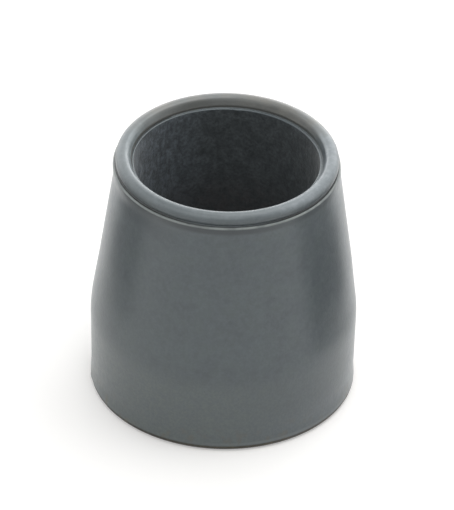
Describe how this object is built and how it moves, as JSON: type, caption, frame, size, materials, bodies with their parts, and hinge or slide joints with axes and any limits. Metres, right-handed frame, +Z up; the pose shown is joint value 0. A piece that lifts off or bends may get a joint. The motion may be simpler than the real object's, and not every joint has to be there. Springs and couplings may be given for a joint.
{
  "type": "rubber cane tip",
  "caption": "Moulded rubber tip with a blind round socket that pushes onto the lower end of a cane shaft and gives it a flat, gripping foot.",
  "frame": {"origin": "centre of the flat sole, on the surface it stands on", "axes": "+Z up along the socket's axis and out of its mouth; +X and +Y are level and alike, because the part is round"},
  "size_m": [0.0366, 0.0366, 0.0372],
  "materials": {
    "rubber": "satin grey, lightly scuffed"
  },
  "bodies": {
    "root": {"cane_tip": "rubber"}
  },
  "joints": []
}
